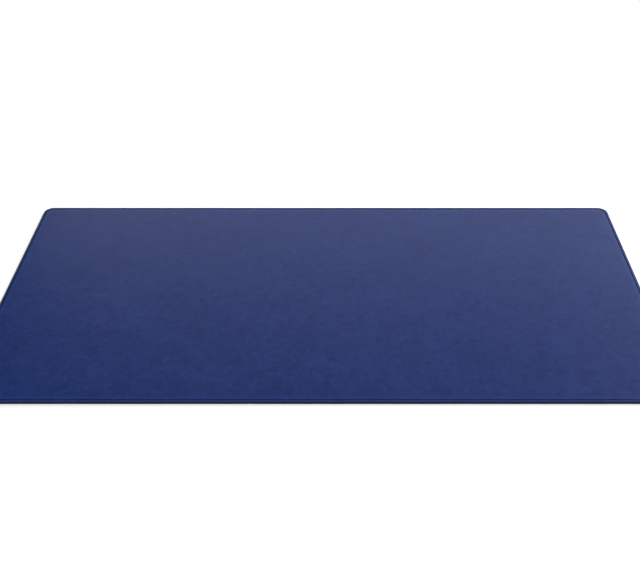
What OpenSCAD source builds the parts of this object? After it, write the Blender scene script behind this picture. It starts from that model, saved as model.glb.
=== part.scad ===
// Desk mat: a flat laminate of a leather cover, a stiffening board and a
// non-slip lining, glued into one sheet whose cut edge is sealed with a bead
// of edge paint. All lengths are in millimetres.
// The origin is the centre of the underside. +X runs along the long side,
// +Y points to the back edge and +Z is up.

/* [Mat] */
// Width of the mat along X, outside the edge paint
mat_w = 800; // [400:10:1200]
// Depth of the mat along Y, outside the edge paint
mat_d = 400; // [250:10:700]
// Radius of the four rounded corners
corner_r = 12.5; // [8:0.5:60]

/* [Layers] */
// Thickness of the non-slip suede lining underneath
lining_t = 0.8; // [0.5:0.1:1.5]
// Thickness of each film of adhesive
film_t = 0.1; // [0.05:0.05:0.2]
// Thickness of the stiffening board
board_t = 1.0; // [0.5:0.1:2]
// Thickness of the leather cover
leather_t = 1.2; // [0.9:0.1:2.5]

/* [Border crease] */
// Distance from the mat's outer edge to the middle of the crease
crease_inset = 3.6; // [2:0.1:5]
// Width of the crease where it meets the top surface
crease_w = 1.3; // [1:0.1:1.8]
// Depth of the crease
crease_depth = 0.5; // [0.2:0.05:0.5]

/* [Edge] */
// Thickness of the coat of edge paint
paint_t = 0.25; // [0.1:0.05:0.4]
// Radius that the leather's top edge is burnished to
top_round = 0.4; // [0.2:0.05:0.6]
// Radius that the lining's bottom edge is sanded to
bottom_round = 0.2; // [0.1:0.05:0.4]

/* [Hidden] */

// levels of the layers, counted up from the underside
z_film_1 = lining_t;
z_board = z_film_1 + film_t;
z_film_2 = z_board + board_t;
z_leather = z_film_2 + film_t;
z_top = z_leather + leather_t;

// outline of the laminate, inside its coat of paint
lam_w = mat_w - 2 * paint_t;
lam_d = mat_d - 2 * paint_t;
lam_r = corner_r - paint_t;

// the crease is the cut of a round creasing iron: the circle that is
// crease_w wide at the surface and crease_depth deep
iron_r = (crease_w * crease_w / 4 + crease_depth * crease_depth) / (2 * crease_depth);

// how far the cutting shapes reach past the faces they trim
over = 1;

// a rounded rectangle, centred, as a flat outline
module outline(w, d, r) {
    union() {
        square([w - 2 * r, d], center = true);
        square([w, d - 2 * r], center = true);
        for (sx = [-1, 1], sy = [-1, 1])
            translate([sx * (w / 2 - r), sy * (d / 2 - r)])
                circle(r = r, $fn = 96);
    }
}

// one layer of the laminate
module layer(z, t) {
    translate([0, 0, z])
        linear_extrude(height = t)
            outline(lam_w, lam_d, lam_r);
}

// carries a flat profile round a rounded rectangle of w by d with corner
// radius r: the profile's x points outwards from that line, its y is height
module round_the_edge(w, d, r) {
    for (k = [0, 1]) rotate([0, 0, 180 * k]) {
        translate([w / 2, 0, 0])
            rotate([90, 0, 0])
                linear_extrude(height = d - 2 * r, center = true)
                    children();
        rotate([0, 0, 90])
            translate([d / 2, 0, 0])
                rotate([90, 0, 0])
                    linear_extrude(height = w - 2 * r, center = true)
                        children();
        translate([w / 2 - r, d / 2 - r, 0])
            rotate_extrude(angle = 90, $fn = 96)
                translate([r, 0])
                    children();
        rotate([0, 0, 90])
            translate([d / 2 - r, w / 2 - r, 0])
                rotate_extrude(angle = 90, $fn = 96)
                    translate([r, 0])
                        children();
    }
}

// what is worn off a square outer edge to leave it with radius r; up = 1 is
// the top edge at height z, up = -1 the bottom edge
module edge_round(z, r, up) {
    round_the_edge(lam_w, lam_d, lam_r)
        difference() {
            translate([-r, up > 0 ? z - r : z - over])
                square([r + over, r + over]);
            translate([-r, z - up * r])
                circle(r = r, $fn = 48);
        }
}

// non-slip lining, nap side down
module suede_lining() {
    color([0.13, 0.15, 0.22])
        difference() {
            layer(0, lining_t);
            edge_round(0, bottom_round, -1);
        }
}

// film that glues the lining to the board
module lower_adhesive() {
    color([0.80, 0.76, 0.62])
        layer(z_film_1, film_t);
}

// board that keeps the mat flat
module stiffening_board() {
    color([0.55, 0.50, 0.43])
        layer(z_board, board_t);
}

// film that glues the leather to the board
module upper_adhesive() {
    color([0.80, 0.76, 0.62])
        layer(z_film_2, film_t);
}

// writing surface, with its creased border line and burnished top edge
module leather_cover() {
    color([0.21, 0.27, 0.45])
        difference() {
            layer(z_leather, leather_t);
            edge_round(z_top, top_round, 1);
            round_the_edge(mat_w - 2 * crease_inset, mat_d - 2 * crease_inset, corner_r - crease_inset)
                translate([0, z_top - crease_depth + iron_r])
                    circle(r = iron_r, $fn = 48);
        }
}

// bead of paint that seals the cut edge of all the layers
module edge_paint() {
    z_low = bottom_round;
    z_high = z_top - top_round;
    color([0.10, 0.13, 0.24])
        round_the_edge(lam_w, lam_d, lam_r)
            intersection() {
                union() {
                    translate([-paint_t, z_low + paint_t])
                        square([2 * paint_t, z_high - z_low - 2 * paint_t]);
                    for (z = [z_low + paint_t, z_high - paint_t])
                        translate([0, z])
                            circle(r = paint_t, $fn = 48);
                }
                translate([0, z_low - over])
                    square([over, z_high - z_low + 2 * over]);
            }
}

suede_lining();
lower_adhesive();
stiffening_board();
upper_adhesive();
leather_cover();
edge_paint();
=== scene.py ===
"""Looks of the desk mat: a navy leather cover with a creased border line, a
bead of dark edge paint and a suede lining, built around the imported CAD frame.
Metres, +X to the right, +Y to the back, +Z up, origin under the mat's centre."""

import math
import bpy
import numpy as np
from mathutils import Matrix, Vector


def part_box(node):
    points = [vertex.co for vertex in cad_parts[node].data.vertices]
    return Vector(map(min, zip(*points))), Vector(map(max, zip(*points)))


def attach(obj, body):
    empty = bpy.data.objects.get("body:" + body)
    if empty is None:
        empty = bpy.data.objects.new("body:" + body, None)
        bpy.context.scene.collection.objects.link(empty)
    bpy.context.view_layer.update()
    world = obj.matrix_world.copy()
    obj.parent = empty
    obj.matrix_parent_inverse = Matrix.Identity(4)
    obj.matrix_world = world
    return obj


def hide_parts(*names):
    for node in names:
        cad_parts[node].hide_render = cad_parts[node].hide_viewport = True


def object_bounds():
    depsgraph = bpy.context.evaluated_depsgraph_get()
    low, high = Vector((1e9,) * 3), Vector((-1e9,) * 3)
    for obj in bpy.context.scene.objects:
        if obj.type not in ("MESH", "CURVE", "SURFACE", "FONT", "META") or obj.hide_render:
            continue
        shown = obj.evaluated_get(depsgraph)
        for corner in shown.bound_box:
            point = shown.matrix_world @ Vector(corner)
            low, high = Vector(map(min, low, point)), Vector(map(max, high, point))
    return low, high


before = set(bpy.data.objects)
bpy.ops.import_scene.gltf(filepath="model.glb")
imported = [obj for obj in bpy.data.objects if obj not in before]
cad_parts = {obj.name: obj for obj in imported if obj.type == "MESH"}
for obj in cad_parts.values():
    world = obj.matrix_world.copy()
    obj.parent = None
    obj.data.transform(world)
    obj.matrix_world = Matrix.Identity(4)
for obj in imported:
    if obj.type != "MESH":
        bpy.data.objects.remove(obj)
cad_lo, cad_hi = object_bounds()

MM = 0.001

# ------------------------------------------------------------------ sizes
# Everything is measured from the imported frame, in millimetres.
cover_lo, cover_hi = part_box("leather_cover")
lining_lo, lining_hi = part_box("suede_lining")
paint_lo, paint_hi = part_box("edge_paint")

WIDTH = (cad_hi.x - cad_lo.x) / MM
DEPTH = (cad_hi.y - cad_lo.y) / MM
TOP = cover_hi.z / MM
COVER_BOTTOM = cover_lo.z / MM
LINING_TOP = lining_hi.z / MM
PAINT_LOW = paint_lo.z / MM
PAINT_HIGH = paint_hi.z / MM
PAINT_T = (cover_lo.x - cad_lo.x) / MM  # how far the laminate is inside the paint

CORNER_R = 12.5  # radius of the mat's corners, outside the paint
CREASE_AT = 3.6  # from the mat's outer edge to the middle of the crease
CREASE_HALF = 0.65  # half the crease's width
CREASE_DEEP = 0.50
RIM_FALL = 0.20  # how far the strip outside the crease is rounded down to the edge
TOP_ROUND = TOP - PAINT_HIGH  # the burnished top edge
BOTTOM_ROUND = PAINT_LOW - lining_lo.z / MM
CORNER_STEPS = 20


# ------------------------------------------------------------------ shape tools
def smooth(a, b, x):
    t = np.clip((np.asarray(x, float) - a) / (b - a), 0, 1)
    return t * t * (3 - 2 * t)


class Waves:
    """A smooth random field: a sum of sine waves of many directions, always the
    same one for a seed."""

    def __init__(self, seed, shortest, longest, count, size):
        r = np.random.default_rng(seed)
        length = np.exp(r.uniform(math.log(shortest), math.log(longest), count))
        turn = r.uniform(0, 2 * math.pi, count)
        self.k = 2 * math.pi / length
        self.dx, self.dy = np.cos(turn), np.sin(turn)
        self.phase = r.uniform(0, 2 * math.pi, count)
        self.amount = length**0.6
        self.amount *= size / math.sqrt(float((self.amount**2).sum()) / 2)

    def __call__(self, x, y):
        out = np.zeros(np.broadcast(x, y).shape)
        for k, dx, dy, phase, amount in zip(
            self.k, self.dx, self.dy, self.phase, self.amount
        ):
            out += amount * np.sin(k * (dx * x + dy * y) + phase)
        return out


class Outline:
    """Points round the mat. Each is a point of the core rectangle, which joins
    the centres of the four corners, and the direction outwards from it."""

    def __init__(self, nx, ny, corner_steps):
        hx, hy = WIDTH / 2 - CORNER_R, DEPTH / 2 - CORNER_R
        xs, ys = np.linspace(-hx, hx, nx + 1), np.linspace(-hy, hy, ny + 1)
        self.xs, self.ys, self.nx, self.ny = xs, ys, nx, ny

        def at(i, j):
            return j * (nx + 1) + i

        rows = []  # core x, core y, angle of the way out, index in the core grid
        turn = [math.pi / 2 * k / corner_steps for k in range(1, corner_steps)]
        rows += [(hx, ys[j], 0.0, at(nx, j)) for j in range(ny + 1)]
        rows += [(hx, hy, a, at(nx, ny)) for a in turn]
        rows += [(xs[i], hy, math.pi / 2, at(i, ny)) for i in range(nx, -1, -1)]
        rows += [(-hx, hy, math.pi / 2 + a, at(0, ny)) for a in turn]
        rows += [(-hx, ys[j], math.pi, at(0, j)) for j in range(ny, -1, -1)]
        rows += [(-hx, -hy, math.pi + a, at(0, 0)) for a in turn]
        rows += [(xs[i], -hy, 1.5 * math.pi, at(i, 0)) for i in range(nx + 1)]
        rows += [(hx, -hy, 1.5 * math.pi + a, at(nx, 0)) for a in turn]
        self.cx = np.array([r[0] for r in rows])
        self.cy = np.array([r[1] for r in rows])
        angle = np.array([r[2] for r in rows])
        self.ox, self.oy = np.cos(angle), np.sin(angle)
        self.core = np.array([r[3] for r in rows])
        self.count = len(rows)
        # distance run along the outline, for marks that follow the edge
        px, py = self.at(0.0)
        step = np.hypot(np.diff(px), np.diff(py))
        self.run = np.concatenate([[0], np.cumsum(step)])

    def at(self, inset):
        """x and y of every point of the outline that lies inset inside the mat's edge."""
        reach = CORNER_R - inset
        return self.cx + self.ox * reach, self.cy + self.oy * reach

    def grid(self):
        x, y = np.meshgrid(self.xs, self.ys)
        return x.ravel(), y.ravel()


def round_noise(run, total, seed, shortest, longest, count, size):
    """A random line along a closed loop of length total, which meets itself."""
    r = np.random.default_rng(seed)
    turns = np.unique(
        np.round(
            total
            / np.exp(r.uniform(math.log(shortest), math.log(longest), count))
        ).astype(int)
    )
    turns = turns[turns > 0]
    phase = r.uniform(0, 2 * math.pi, len(turns))
    share = (1.0 / turns) ** 0.5
    share *= size / math.sqrt(float((share**2).sum()) / 2)
    out = np.zeros(len(run))
    for k, p, a in zip(turns, phase, share):
        out += a * np.sin(2 * math.pi * k * run / total + p)
    return out


def mesh_object(name, points, faces, flat_faces=()):
    """A smooth-shaded object from points in millimetres. flat_faces are the
    faces that stay flat, so that their border is a crisp edge."""
    me = bpy.data.meshes.new(name)
    me.from_pydata([tuple(p) for p in (np.asarray(points) * MM).tolist()], [], faces)
    me.validate()
    shade = np.ones(len(me.polygons), bool)
    for f in flat_faces:
        shade[f] = False
    me.polygons.foreach_set("use_smooth", shade)
    me.update()
    ob = bpy.data.objects.new(name, me)
    bpy.context.scene.collection.objects.link(ob)
    return ob


def point_values(ob, name, values):
    a = ob.data.attributes.new(name, "FLOAT", "POINT")
    a.data.foreach_set("value", np.asarray(values, np.float32))


def plate(name, outline, profile, height, lid_z, up=True):
    """A closed slab. Its detailed face is the core grid plus one loop of points
    for each (inset, z) of profile, from the core outwards and over the edge;
    its other face is one flat face at lid_z. height(x, y, inset) is added to
    the detailed face's z. up tells which way that face looks."""
    gx, gy = outline.grid()
    first_z = profile[0][1]
    xs, ys, zs, insets = [gx], [gy], [np.full(len(gx), first_z)], [
        np.full(len(gx), CORNER_R)
    ]
    for inset, z in profile[1:]:
        x, y = outline.at(inset)
        xs.append(x)
        ys.append(y)
        zs.append(np.full(outline.count, z))
        insets.append(np.full(outline.count, inset))
    x, y, z, inset = (np.concatenate(v) for v in (xs, ys, zs, insets))
    z = z + height(x, y, inset, z)
    # distance of every point from the mat's edge, also inside the core
    hx, hy = WIDTH / 2, DEPTH / 2
    edge = np.minimum(hx - np.abs(x), hy - np.abs(y))
    edge[len(gx) :] = inset[len(gx) :]
    faces = []
    nx, ny, m = outline.nx, outline.ny, outline.count
    for j in range(ny):
        for i in range(nx):
            a = j * (nx + 1) + i
            faces.append((a, a + 1, a + nx + 2, a + nx + 1))
    start = len(gx)
    core = outline.core
    for p in range(m):
        q = (p + 1) % m
        a, b, c, d = int(core[p]), start + p, start + q, int(core[q])
        faces.append((a, b, c) if a == d else (a, b, c, d))
    loops = len(profile) - 1
    for k in range(loops - 1):
        s0, s1 = start + k * m, start + (k + 1) * m
        for p in range(m):
            q = (p + 1) % m
            faces.append((s0 + p, s1 + p, s1 + q, s0 + q))
    last = start + (loops - 1) * m
    z[last:] = lid_z
    faces.append(tuple(range(last + m - 1, last - 1, -1)))
    if not up:
        faces = [tuple(reversed(f)) for f in faces]
    ob = mesh_object(name, np.stack([x, y, z], 1), faces, [len(faces) - 1])
    point_values(ob, "edge_mm", edge)
    # where every point lies when the side is folded out flat round the face
    flat_x, flat_y, out = [gx], [gy], profile[0][0]
    for before, (inset, level) in zip(profile, profile[1:]):
        out -= math.hypot(inset - before[0], level - before[1])
        px, py = outline.at(out)
        flat_x.append(px)
        flat_y.append(py)
    flat_x, flat_y = np.concatenate(flat_x), np.concatenate(flat_y)
    unwrap(ob, flat_x if up else -flat_x, flat_y, -out + 0.5)
    return ob


def unwrap(ob, x, y, skirt):
    """A map for a plate's baked textures. Its detailed face and its side are
    one piece over nearly the whole square, with more room for the border,
    where the fine work is, than for the middle. The plain face behind is a
    small piece below it."""

    def place(value, half, border):
        inner = half - CORNER_R
        a = np.array([-half - skirt, -inner, inner, half + skirt])
        return np.interp(value, a, [0, border, 1 - border, 1])

    u = 0.003 + 0.994 * place(x, WIDTH / 2, 0.045)
    v = 0.045 + 0.952 * place(y, DEPTH / 2, 0.070)
    me = ob.data
    corner = np.empty(len(me.loops), np.int64)
    me.loops.foreach_get("vertex_index", corner)
    uv = np.stack([u[corner], v[corner]], 1)
    back = me.polygons[len(me.polygons) - 1]
    plain = slice(back.loop_start, back.loop_start + back.loop_total)
    uv[plain, 0] = 0.01 + 0.07 * (0.5 - x[corner[plain]] / WIDTH)
    uv[plain, 1] = 0.003 + 0.033 * (y[corner[plain]] / DEPTH + 0.5)
    layer = me.uv_layers.new(name="OFBake")
    layer.data.foreach_set("uv", uv.astype(np.float32).ravel())


# ------------------------------------------------------------------ node tools
class Nodes:
    """Short names for building one material's nodes."""

    def __init__(self, name):
        self.mat = bpy.data.materials.new(name)
        self.mat.use_nodes = True
        self.nt = self.mat.node_tree
        self.nt.nodes.clear()
        self.out = self.nt.nodes.new("ShaderNodeOutputMaterial")
        self.bsdf = self.nt.nodes.new("ShaderNodeBsdfPrincipled")
        self.nt.links.new(self.bsdf.outputs[0], self.out.inputs["Surface"])

    def put(self, socket, value):
        if hasattr(value, "is_output"):
            self.nt.links.new(value, socket)
        elif value is not None:
            socket.default_value = value

    def shader(self, **values):
        for key, value in values.items():
            self.put(self.bsdf.inputs[key.replace("_", " ").title().replace("Ior", "IOR")], value)

    def where(self):
        return self.nt.nodes.new("ShaderNodeTexCoord").outputs["Object"]

    def attribute(self, name):
        n = self.nt.nodes.new("ShaderNodeAttribute")
        n.attribute_type = "GEOMETRY"
        n.attribute_name = name
        return n.outputs["Fac"]

    def maths(self, how, a, b=None, c=None, clamp=False):
        n = self.nt.nodes.new("ShaderNodeMath")
        n.operation = how
        n.use_clamp = clamp
        for socket, value in zip(n.inputs, (a, b, c)):
            self.put(socket, value)
        return n.outputs[0]

    def span(self, value, a, b, lo=0.0, hi=1.0, kind="SMOOTHSTEP"):
        n = self.nt.nodes.new("ShaderNodeMapRange")
        n.interpolation_type = kind
        self.put(n.inputs["Value"], value)
        n.inputs["From Min"].default_value = a
        n.inputs["From Max"].default_value = b
        n.inputs["To Min"].default_value = lo
        n.inputs["To Max"].default_value = hi
        return n.outputs["Result"]

    def stretch(self, vector, scale, turn=0.0):
        n = self.nt.nodes.new("ShaderNodeMapping")
        self.put(n.inputs["Vector"], vector)
        n.inputs["Rotation"].default_value = (0, 0, turn)
        n.inputs["Scale"].default_value = scale
        return n.outputs[0]

    def noise(self, vector, per_metre, detail=2.0, rough=0.5, colour=False, distortion=0.0):
        n = self.nt.nodes.new("ShaderNodeTexNoise")
        self.put(n.inputs["Vector"], vector)
        n.inputs["Scale"].default_value = per_metre
        n.inputs["Detail"].default_value = detail
        n.inputs["Roughness"].default_value = rough
        n.inputs["Distortion"].default_value = distortion
        return n.outputs["Color" if colour else "Fac"]

    def cells(self, vector, per_metre, feature="F1", smoothness=0.3, output="Distance"):
        n = self.nt.nodes.new("ShaderNodeTexVoronoi")
        n.feature = feature
        self.put(n.inputs["Vector"], vector)
        n.inputs["Scale"].default_value = per_metre
        if feature == "SMOOTH_F1":
            n.inputs["Smoothness"].default_value = smoothness
        return n.outputs[output]

    def shake(self, vector, per_metre, metres):
        """The same coordinates, each pushed about by up to metres."""
        push = self.nt.nodes.new("ShaderNodeVectorMath")
        push.operation = "SUBTRACT"
        self.put(push.inputs[0], self.noise(vector, per_metre, 1.0, colour=True))
        push.inputs[1].default_value = (0.5, 0.5, 0.5)
        size = self.nt.nodes.new("ShaderNodeVectorMath")
        size.operation = "SCALE"
        self.put(size.inputs[0], push.outputs[0])
        size.inputs["Scale"].default_value = metres * 2
        add = self.nt.nodes.new("ShaderNodeVectorMath")
        add.operation = "ADD"
        self.put(add.inputs[0], vector)
        self.put(add.inputs[1], size.outputs[0])
        return add.outputs[0]

    def blend(self, amount, a, b, how="MIX"):
        n = self.nt.nodes.new("ShaderNodeMix")
        n.data_type = "RGBA"
        n.blend_type = how
        self.put(n.inputs[0], amount)
        for socket, value in ((n.inputs[6], a), (n.inputs[7], b)):
            self.put(socket, (*value, 1) if isinstance(value, tuple) and len(value) == 3 else value)
        return n.outputs[2]

    def bump(self, height, metres, strength=1.0, normal=None):
        n = self.nt.nodes.new("ShaderNodeBump")
        n.inputs["Strength"].default_value = strength
        n.inputs["Distance"].default_value = metres
        self.put(n.inputs["Height"], height)
        self.put(n.inputs["Normal"], normal)
        return n.outputs[0]


# ------------------------------------------------------------------ materials
def leather():
    """Navy grain leather: fine pebbled grain, cloudy dye, a few faint hide
    marks, a crease line darkened with painted shade of the groove, and a rim and
    the crease's inner lip made paler with a painted highlight."""
    n = Nodes("navy_leather")
    at = n.where()
    wavy = n.shake(at, 260.0, 0.00055)
    # pebbles of about 1.5 mm between fine valleys, and a finer grain on them
    pebble = n.span(n.cells(wavy, 640.0, "DISTANCE_TO_EDGE"), 0.0, 0.32)
    small = n.span(n.cells(wavy, 1500.0, "DISTANCE_TO_EDGE"), 0.0, 0.30)
    pores = n.span(n.noise(at, 2600.0, 2.0, 0.6), 0.36, 0.50)
    clouds = n.noise(n.stretch(at, (1.0, 1.5, 1.0)), 9.0, 3.0, 0.6)
    mottle = n.noise(at, 150.0, 3.0, 0.70, distortion=0.6)
    patches = n.noise(at, 42.0, 2.0, 0.55, distortion=0.8)
    # faint drawn marks: thin lines where a stretched noise crosses its middle,
    # kept only in some places
    drawn = n.noise(n.stretch(n.shake(at, 14.0, 0.012), (0.35, 1.0, 1.0), 0.25), 30.0, 2.0, 0.5)
    line = n.span(n.maths("ABSOLUTE", n.maths("SUBTRACT", drawn, 0.5)), 0.0, 0.016, 1.0, 0.0)
    marks = n.maths("MULTIPLY", line, n.span(n.noise(at, 8.0, 2.0, 0.5), 0.55, 0.70))
    edge = n.attribute("edge_mm")
    off = n.maths("ABSOLUTE", n.maths("SUBTRACT", edge, CREASE_AT))
    crease = n.span(off, 0.32, 0.88, 1.0, 0.0)
    rim = n.span(edge, 1.8, 2.9, 1.0, 0.0)
    lip = n.maths("MULTIPLY", n.span(edge, 4.4, 5.2), n.span(edge, 7.0, 9.5, 1.0, 0.0))

    deep, pale = (0.0035, 0.0118, 0.0739), (0.0122, 0.0299, 0.1422)
    colour = n.blend(n.span(clouds, 0.32, 0.68), (0.0060, 0.0191, 0.1020), (0.0075, 0.0223, 0.1140))
    colour = n.blend(n.maths("MULTIPLY", n.span(patches, 0.50, 0.74), 0.42), colour, pale)
    colour = n.blend(n.maths("MULTIPLY", n.span(patches, 0.50, 0.26), 0.42), colour, deep)
    colour = n.blend(n.maths("MULTIPLY", n.span(mottle, 0.50, 0.70), 0.78), colour, pale)
    colour = n.blend(n.maths("MULTIPLY", n.span(mottle, 0.50, 0.30), 0.78), colour, deep)
    colour = n.blend(n.maths("MULTIPLY", marks, 0.45), colour, deep)
    valley = n.maths("MULTIPLY", n.maths("SUBTRACT", 1.0, pebble), 0.40)
    colour = n.blend(valley, colour, deep)
    # painted highlight: the rim and the crease's inner lip are made a little paler, standing in for the light they
    # catch
    painted_highlight = n.maths("MAXIMUM", n.maths("MULTIPLY", rim, 0.40), n.maths("MULTIPLY", lip, 0.55))
    colour = n.blend(painted_highlight, colour, pale)
    # painted shade: the crease line is darkened nearly to black, standing in for the shade that falls in the
    # groove
    colour = n.blend(n.maths("MULTIPLY", crease, 0.76), colour, (0.0010, 0.0016, 0.0060))

    rough = n.span(mottle, 0.3, 0.7, 0.31, 0.41, "LINEAR")
    rough = n.maths("ADD", rough, n.span(pebble, 0.0, 1.0, 0.08, -0.01, "LINEAR"))
    rough = n.maths("ADD", rough, n.maths("MULTIPLY", crease, 0.40))

    height = n.maths("ADD", n.maths("MULTIPLY", pebble, 0.60), n.maths("MULTIPLY", small, 0.22))
    height = n.maths("ADD", height, n.maths("MULTIPLY", pores, 0.18))
    height = n.maths("ADD", height, n.maths("MULTIPLY", mottle, 1.1))
    # the creasing iron and the burnisher flatten the grain
    height = n.maths("MULTIPLY", height, n.span(n.maths("MAXIMUM", crease, rim), 0.0, 1.0, 1.0, 0.35))
    height = n.maths("SUBTRACT", height, n.maths("MULTIPLY", marks, 0.35))
    n.shader(
        base_color=colour,
        roughness=rough,
        normal=n.bump(height, 0.00006, 0.65),
    )
    n.bsdf.inputs["IOR"].default_value = 1.45
    n.bsdf.inputs["Specular IOR Level"].default_value = 0.11
    return n.mat


def suede():
    """Short-napped lining, charcoal blue, brushed one way."""
    n = Nodes("lining_suede")
    at = n.where()
    brushed = n.stretch(n.shake(at, 60.0, 0.0015), (1.0, 0.28, 1.0), 0.35)
    nap = n.noise(brushed, 900.0, 3.0, 0.65)
    strokes = n.noise(n.stretch(at, (1.0, 0.35, 1.0), 0.35), 22.0, 4.0, 0.6, distortion=0.8)
    fluff = n.noise(at, 2400.0, 2.0, 0.7)
    colour = n.blend(n.span(nap, 0.32, 0.70), (0.0075, 0.0095, 0.019), (0.0230, 0.0280, 0.0490))
    colour = n.blend(n.maths("MULTIPLY", n.span(strokes, 0.44, 0.66), 0.45), colour, (0.0290, 0.0340, 0.0560))
    colour = n.blend(n.maths("MULTIPLY", n.span(fluff, 0.56, 0.72), 0.35), colour, (0.0400, 0.0450, 0.0680))
    height = n.maths("ADD", n.maths("MULTIPLY", nap, 0.7), n.maths("MULTIPLY", fluff, 0.4))
    rough = n.span(strokes, 0.3, 0.7, 0.86, 0.98, "LINEAR")
    n.shader(base_color=colour, roughness=rough, normal=n.bump(height, 0.00022, 0.8))
    n.bsdf.inputs["Sheen Weight"].default_value = 0.35
    n.bsdf.inputs["Sheen Roughness"].default_value = 0.45
    n.bsdf.inputs["Specular IOR Level"].default_value = 0.25
    return n.mat


def edge_coat():
    """Satin acrylic edge paint, rolled on by hand: nearly black navy."""
    n = Nodes("edge_paint")
    at = n.where()
    flow = n.noise(n.stretch(at, (1.0, 1.0, 3.0)), 130.0, 3.0, 0.55)
    tiny = n.noise(at, 1400.0, 2.0, 0.6)
    colour = n.blend(n.span(flow, 0.35, 0.68), (0.0022, 0.0032, 0.0095), (0.0040, 0.0058, 0.0165))
    colour = n.blend(n.maths("MULTIPLY", n.span(tiny, 0.58, 0.70), 0.30), colour, (0.0085, 0.0115, 0.0300))
    height = n.maths("ADD", n.maths("MULTIPLY", flow, 0.8), n.maths("MULTIPLY", tiny, 0.25))
    rough = n.span(flow, 0.3, 0.7, 0.50, 0.64, "LINEAR")
    n.shader(base_color=colour, roughness=rough, normal=n.bump(height, 0.00008, 0.5))
    n.bsdf.inputs["Specular IOR Level"].default_value = 0.20
    return n.mat


def fibre_board():
    """Pressed leather-fibre board, hidden inside the laminate."""
    n = Nodes("fibre_board")
    at = n.where()
    fibres = n.noise(n.stretch(n.shake(at, 40.0, 0.004), (1.0, 0.12, 1.0), 0.6), 600.0, 3.0, 0.6)
    across = n.noise(n.stretch(n.shake(at, 55.0, 0.004), (0.12, 1.0, 1.0), 0.5), 520.0, 3.0, 0.6)
    flecks = n.noise(at, 190.0, 4.0, 0.65)
    colour = n.blend(n.span(fibres, 0.35, 0.68), (0.165, 0.118, 0.076), (0.310, 0.240, 0.165))
    colour = n.blend(n.maths("MULTIPLY", n.span(across, 0.50, 0.70), 0.5), colour, (0.360, 0.285, 0.200))
    colour = n.blend(n.maths("MULTIPLY", n.span(flecks, 0.60, 0.70), 0.6), colour, (0.090, 0.062, 0.040))
    height = n.maths("ADD", fibres, across)
    rough = n.span(flecks, 0.3, 0.7, 0.82, 0.95, "LINEAR")
    n.shader(base_color=colour, roughness=rough, normal=n.bump(height, 0.00012, 0.6))
    return n.mat


def adhesive():
    """Cured contact adhesive: a thin yellowish film with brush streaks."""
    n = Nodes("adhesive_film")
    at = n.where()
    streaks = n.noise(n.stretch(n.shake(at, 25.0, 0.006), (0.08, 1.0, 1.0)), 260.0, 3.0, 0.6)
    blots = n.noise(at, 30.0, 3.0, 0.6)
    colour = n.blend(n.span(streaks, 0.35, 0.65), (0.520, 0.430, 0.240), (0.640, 0.560, 0.370))
    colour = n.blend(n.maths("MULTIPLY", n.span(blots, 0.5, 0.7), 0.4), colour, (0.430, 0.330, 0.170))
    rough = n.span(blots, 0.3, 0.7, 0.28, 0.45, "LINEAR")
    n.shader(base_color=colour, roughness=rough, normal=n.bump(streaks, 0.00003, 0.6))
    return n.mat


# ------------------------------------------------------------------ camera
camera_data = bpy.data.cameras.new("camera")
camera = bpy.data.objects.new("camera", camera_data)
bpy.context.scene.collection.objects.link(camera)
camera.location = (0.0202, -0.9350, 0.7020)
camera.rotation_euler = (math.radians(90 - 36.232), 0, 0)
camera_data.sensor_width = 36.0
camera_data.lens = 52.27
camera_data.shift_x = -0.0312
camera_data.clip_start, camera_data.clip_end = 0.01, 60
bpy.context.scene.camera = camera

# ------------------------------------------------------------------ leather cover
outline = Outline(310, 150, CORNER_STEPS)
hide = Waves(11, 45.0, 320.0, 18, 0.055)
dimple = Waves(12, 12.0, 34.0, 26, 0.012)


def crease_shape(inset):
    """How far the border is pressed down at a distance inside the edge: a
    round-nosed groove with soft lips, the strip outside it rounded down to the
    cut edge, and inside it a wide shoulder where the iron drew the leather."""
    off = np.abs(inset - CREASE_AT)
    groove = CREASE_DEEP * (1 - smooth(0.12, CREASE_HALF * 1.2, off))
    t = np.clip((inset - CREASE_AT - CREASE_HALF) / 3.2, 0, 1)
    w = np.clip((inset - CREASE_AT - CREASE_HALF) / 15.0, 0, 1)
    shoulder = np.where(inset > CREASE_AT, 0.08 * (1 - t) ** 2 + 0.20 * (1 - w) ** 2.2, 0.0)
    u = np.clip((inset - PAINT_T - TOP_ROUND) / 1.9, 0, 1)
    rim = RIM_FALL * (1 - u) ** 1.7
    return np.maximum(groove + 0.05 * (1 - smooth(0.3, 1.1, off)), 0) + shoulder * smooth(0.0, 0.5, off) + rim


def cover_height(x, y, inset, z):
    # inside the core rectangle the distance from the edge is straight in
    inset = np.where(inset >= CORNER_R - 1e-6, np.minimum(WIDTH / 2 - np.abs(x), DEPTH / 2 - np.abs(y)), inset)
    on_top = smooth(0.8, 4.0, inset)
    down = np.where(inset >= PAINT_T + TOP_ROUND - 1e-6, crease_shape(inset), 0.0)
    return (hide(x, y) + dimple(x, y)) * on_top - down


arc_c, arc_z = PAINT_T + TOP_ROUND, TOP - RIM_FALL - TOP_ROUND
cover_profile = [(CORNER_R, TOP)]
cover_profile += [
    (s, TOP)
    for s in (
        10.2, 8.4, 7.1, 6.2, 5.6, 5.2, 4.9, 4.68, 4.5, 4.36, 4.24, 4.12, 4.0, 3.87,
        3.74, 3.6, 3.46, 3.33, 3.2, 3.08, 2.96, 2.84, 2.7, 2.52, 2.3, 2.0, 1.65,
        1.3, 1.0, 0.8,
    )
]
cover_profile += [(arc_c, TOP)]
for k in range(1, 7):
    a = math.pi / 2 * k / 6
    cover_profile.append((arc_c - TOP_ROUND * math.sin(a), arc_z + TOP_ROUND * math.cos(a)))
cover_profile += [(PAINT_T, 2.35), (PAINT_T, COVER_BOTTOM)]
cover = plate("leather_cover_skin", outline, cover_profile, cover_height, COVER_BOTTOM)
cover.data.materials.append(leather())
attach(cover, "root")
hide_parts("leather_cover")

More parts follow.
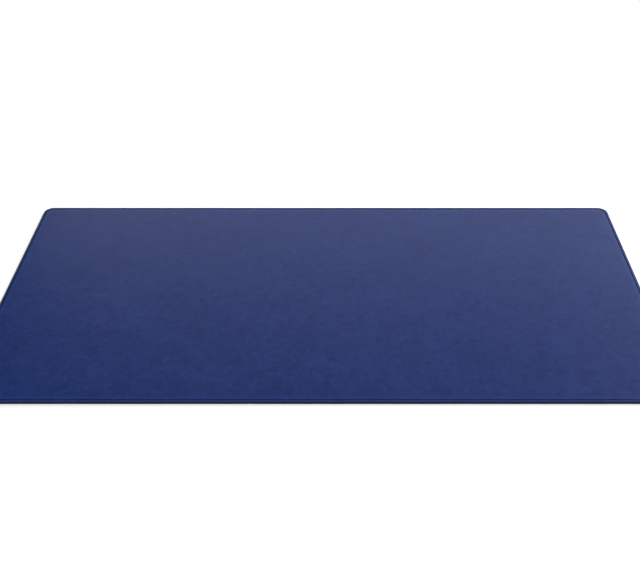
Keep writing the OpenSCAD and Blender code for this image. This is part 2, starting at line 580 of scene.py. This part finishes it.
# ------------------------------------------------------------------ suede lining
lining_outline = Outline(236, 114, CORNER_STEPS)
nap_big = Waves(21, 60.0, 300.0, 12, 0.010)
nap_small = Waves(22, 7.0, 22.0, 30, 0.010)


def lining_height(x, y, inset, z):
    under = smooth(PAINT_T + BOTTOM_ROUND, 3.0, inset)
    return (0.035 + np.clip(nap_big(x, y) + nap_small(x, y), -0.035, 0.05)) * under


lining_profile = [(CORNER_R, 0.0), (9.0, 0.0), (6.0, 0.0), (4.0, 0.0), (2.6, 0.0), (1.6, 0.0), (1.0, 0.0)]
lining_profile += [(PAINT_T + BOTTOM_ROUND + 0.15, 0.0)]
for k in range(0, 6):
    a = math.pi / 2 * k / 5
    lining_profile.append(
        (PAINT_T + BOTTOM_ROUND - BOTTOM_ROUND * math.sin(a), BOTTOM_ROUND - BOTTOM_ROUND * math.cos(a))
    )
lining_profile += [(PAINT_T, LINING_TOP)]
lining = plate("suede_lining_nap", lining_outline, lining_profile, lining_height, LINING_TOP, up=False)
lining.data.materials.append(suede())
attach(lining, "root")
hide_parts("suede_lining")

# ------------------------------------------------------------------ edge paint
bead_outline = Outline(388, 188, 28)


def paint_bead():
    """A ring of paint. It fills the side between the lining's sanded edge and
    the leather's burnished one, laps a little on to both, and is never quite
    even, because it is rolled on by hand in two coats."""
    o = bead_outline
    total = float(o.run[-1]) + math.hypot(
        *(a[-1] - a[0] for a in o.at(0.0))
    )
    thick = PAINT_T * (1 + 0.10 * np.clip(round_noise(o.run, total, 31, 9.0, 120.0, 60, 0.5), -1, 1))
    low_lap = 0.55 + 0.10 * np.clip(round_noise(o.run, total, 32, 6.0, 60.0, 60, 0.7), -1, 1)
    high_lap = 0.75 + 0.12 * np.clip(round_noise(o.run, total, 33, 6.0, 60.0, 60, 0.7), -1, 1)
    arc_top = TOP - RIM_FALL - TOP_ROUND
    inner, outer = [], []  # (inset, z) arrays, from the bottom lap to the top one
    steps = 14
    for k in range(steps + 1):
        t = k / steps
        if t < 0.2:  # round the lining's lower edge
            a = (1 - t / 0.2) * low_lap
            inset = PAINT_T + BOTTOM_ROUND * (1 - np.cos(a))
            z = BOTTOM_ROUND - BOTTOM_ROUND * np.sin(a)
            nx, nz = np.cos(a), -np.sin(a)
        elif t > 0.8:  # round the leather's upper edge
            a = (t - 0.8) / 0.2 * high_lap
            inset = PAINT_T + TOP_ROUND * (1 - np.cos(a))
            z = arc_top + TOP_ROUND * np.sin(a)
            nx, nz = np.cos(a), np.sin(a)
        else:
            u = (t - 0.2) / 0.6
            inset = np.full(o.count, PAINT_T)
            z = np.full(o.count, BOTTOM_ROUND + (arc_top - BOTTOM_ROUND) * u)
            nx, nz = np.ones(o.count), np.zeros(o.count)
        dome = max(0.0, 1 - abs(2 * t - 1) ** 3.2) ** 0.5
        coat = thick * (0.06 + 0.94 * dome)
        inner.append((inset, z))
        outer.append((inset - coat * nx, z + coat * nz))
    loops = outer + inner[::-1]
    points, faces = [], []
    for inset, z in loops:
        reach = CORNER_R - inset
        points.append(np.stack([o.cx + o.ox * reach, o.cy + o.oy * reach, z], 1))
    m, count = o.count, len(loops)
    for k in range(count):
        s0, s1 = k * m, ((k + 1) % count) * m
        for p in range(m):
            q = (p + 1) % m
            faces.append((s0 + p, s0 + q, s1 + q, s1 + p))
    return mesh_object("edge_paint_bead", np.concatenate(points), faces)


bead = paint_bead()
bead.data.materials.append(edge_coat())
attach(bead, "root")
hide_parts("edge_paint")

# ------------------------------------------------------------------ inner layers
def dress(node, material):
    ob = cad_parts[node]
    ob.data.materials.clear()
    ob.data.materials.append(material)


film = adhesive()
dress("lower_adhesive", film)
dress("upper_adhesive", film)
dress("stiffening_board", fibre_board())

# ------------------------------------------------------------------ desk and light
HORIZON, CEILING, BACKDROP = 0.3, 1.6, 1.03


def desk_material():
    """A white desk that takes the mat's shadow and, away from the mat, fades
    into a plain white sweep."""
    n = Nodes("white_desk")
    split = n.nt.nodes.new("ShaderNodeSeparateXYZ")
    n.put(split.inputs[0], n.where())
    past_x = n.maths("SUBTRACT", n.maths("ABSOLUTE", split.outputs["X"]), WIDTH / 2 * MM)
    past_y = n.maths("SUBTRACT", n.maths("ABSOLUTE", split.outputs["Y"]), DEPTH / 2 * MM)
    away = n.span(n.maths("SMOOTH_MAX", past_x, past_y, 0.10), 0.08, 0.30)
    n.shader(base_color=(0.93, 0.93, 0.93, 1), roughness=0.9)
    n.bsdf.inputs["Specular IOR Level"].default_value = 0.1
    sweep = n.nt.nodes.new("ShaderNodeEmission")
    sweep.inputs["Strength"].default_value = BACKDROP
    mix = n.nt.nodes.new("ShaderNodeMixShader")
    n.put(mix.inputs[0], away)
    n.nt.links.new(n.bsdf.outputs[0], mix.inputs[1])
    n.nt.links.new(sweep.outputs[0], mix.inputs[2])
    n.nt.links.new(mix.outputs[0], n.out.inputs["Surface"])
    return n.mat


desk_mesh = bpy.data.meshes.new("desk")
half = 9.0
desk_mesh.from_pydata(
    [(-half, -half, 0), (half, -half, 0), (half, half, 0), (-half, half, 0)], [], [(0, 1, 2, 3)]
)
desk = bpy.data.objects.new("desk", desk_mesh)
bpy.context.scene.collection.objects.link(desk)
desk_mesh.materials.append(desk_material())


def softbox(name, centre, aim, width, height, radiance, gloss=True):
    """A soft rectangular light that the camera doesn't see. radiance is how
    bright its face is, where a white sheet in full light is about 1. Without
    gloss it isn't mirrored in glossy surfaces."""
    data = bpy.data.lights.new(name, "AREA")
    data.shape = "RECTANGLE"
    data.size, data.size_y = width, height
    data.energy = math.pi * width * height * radiance
    ob = bpy.data.objects.new(name, data)
    bpy.context.scene.collection.objects.link(ob)
    ob.location = centre
    ob.rotation_mode = "QUATERNION"
    ob.rotation_quaternion = (Vector(aim) - Vector(centre)).to_track_quat("-Z", "Y")
    ob.visible_camera = False
    ob.visible_glossy = gloss
    return ob


# a row of cards behind the mat gives the leather its sheen, and three lower ones
# under them only add light, so that the gloss stays clean at flat angles
softbox("card_left", (-0.515, 1.35, 0.65), (-0.515, 0.0, 0.65), 0.87, 0.28, 5.8)
softbox("card_middle", (0.355, 1.35, 0.68), (0.355, 0.0, 0.68), 0.87, 0.34, 5.3)
softbox("card_right", (1.22, 1.35, 0.69), (1.22, 0.0, 0.69), 0.86, 0.52, 4.7)
softbox("low_left", (-0.515, 1.35, 0.22), (-0.515, 0.0, 0.22), 0.87, 0.36, 5.2, gloss=False)
softbox("low_middle", (0.355, 1.35, 0.22), (0.355, 0.0, 0.22), 0.87, 0.36, 5.6, gloss=False)
softbox("low_right", (1.22, 1.35, 0.22), (1.22, 0.0, 0.22), 0.86, 0.36, 1.6, gloss=False)
# a softbox on the right, a little behind, is the key, and a weak one above the
# camera fills in the shadow under the front edge
softbox("key", (1.35, 0.7, 0.9), (0.0, 0.7, 0.9), 1.0, 0.8, 9.5)
softbox("front_fill", (0.0, -1.5, 2.6), (0.0, 0.0, 0.0), 2.4, 1.2, 3.6)


def studio_world():
    """A bright ceiling, darker walls and a pale horizon. The camera sees only
    plain white past the desk."""
    world = bpy.data.worlds.new("studio")
    world.use_nodes = True
    nt = world.node_tree
    nt.nodes.clear()
    out = nt.nodes.new("ShaderNodeOutputWorld")
    back = nt.nodes.new("ShaderNodeBackground")
    back.inputs["Color"].default_value = (1, 1, 1, 1)
    nt.links.new(back.outputs[0], out.inputs["Surface"])
    at = nt.nodes.new("ShaderNodeTexCoord")
    split = nt.nodes.new("ShaderNodeSeparateXYZ")
    nt.links.new(at.outputs["Generated"], split.inputs[0])

    def maths(how, a, b):
        n = nt.nodes.new("ShaderNodeMath")
        n.operation = how
        for socket, value in zip(n.inputs, (a, b)):
            if hasattr(value, "is_output"):
                nt.links.new(value, socket)
            else:
                socket.default_value = value
        return n.outputs[0]

    def ramp(a, b, lo, hi):
        n = nt.nodes.new("ShaderNodeMapRange")
        nt.links.new(split.outputs["Z"], n.inputs["Value"])
        n.inputs["From Min"].default_value = math.sin(math.radians(a))
        n.inputs["From Max"].default_value = math.sin(math.radians(b))
        n.inputs["To Min"].default_value = lo
        n.inputs["To Max"].default_value = hi
        return n.outputs["Result"]

    light = maths("ADD", ramp(8, 20, HORIZON, 0.0), ramp(46, 66, 0.0, CEILING))
    seen = nt.nodes.new("ShaderNodeLightPath").outputs["Is Camera Ray"]
    light = maths("ADD", maths("MULTIPLY", light, maths("SUBTRACT", 1.0, seen)), maths("MULTIPLY", seen, BACKDROP))
    nt.links.new(light, back.inputs["Strength"])
    return world


bpy.context.scene.world = studio_world()

view = bpy.context.scene.view_settings
view.view_transform = "Standard"
view.look = "None"
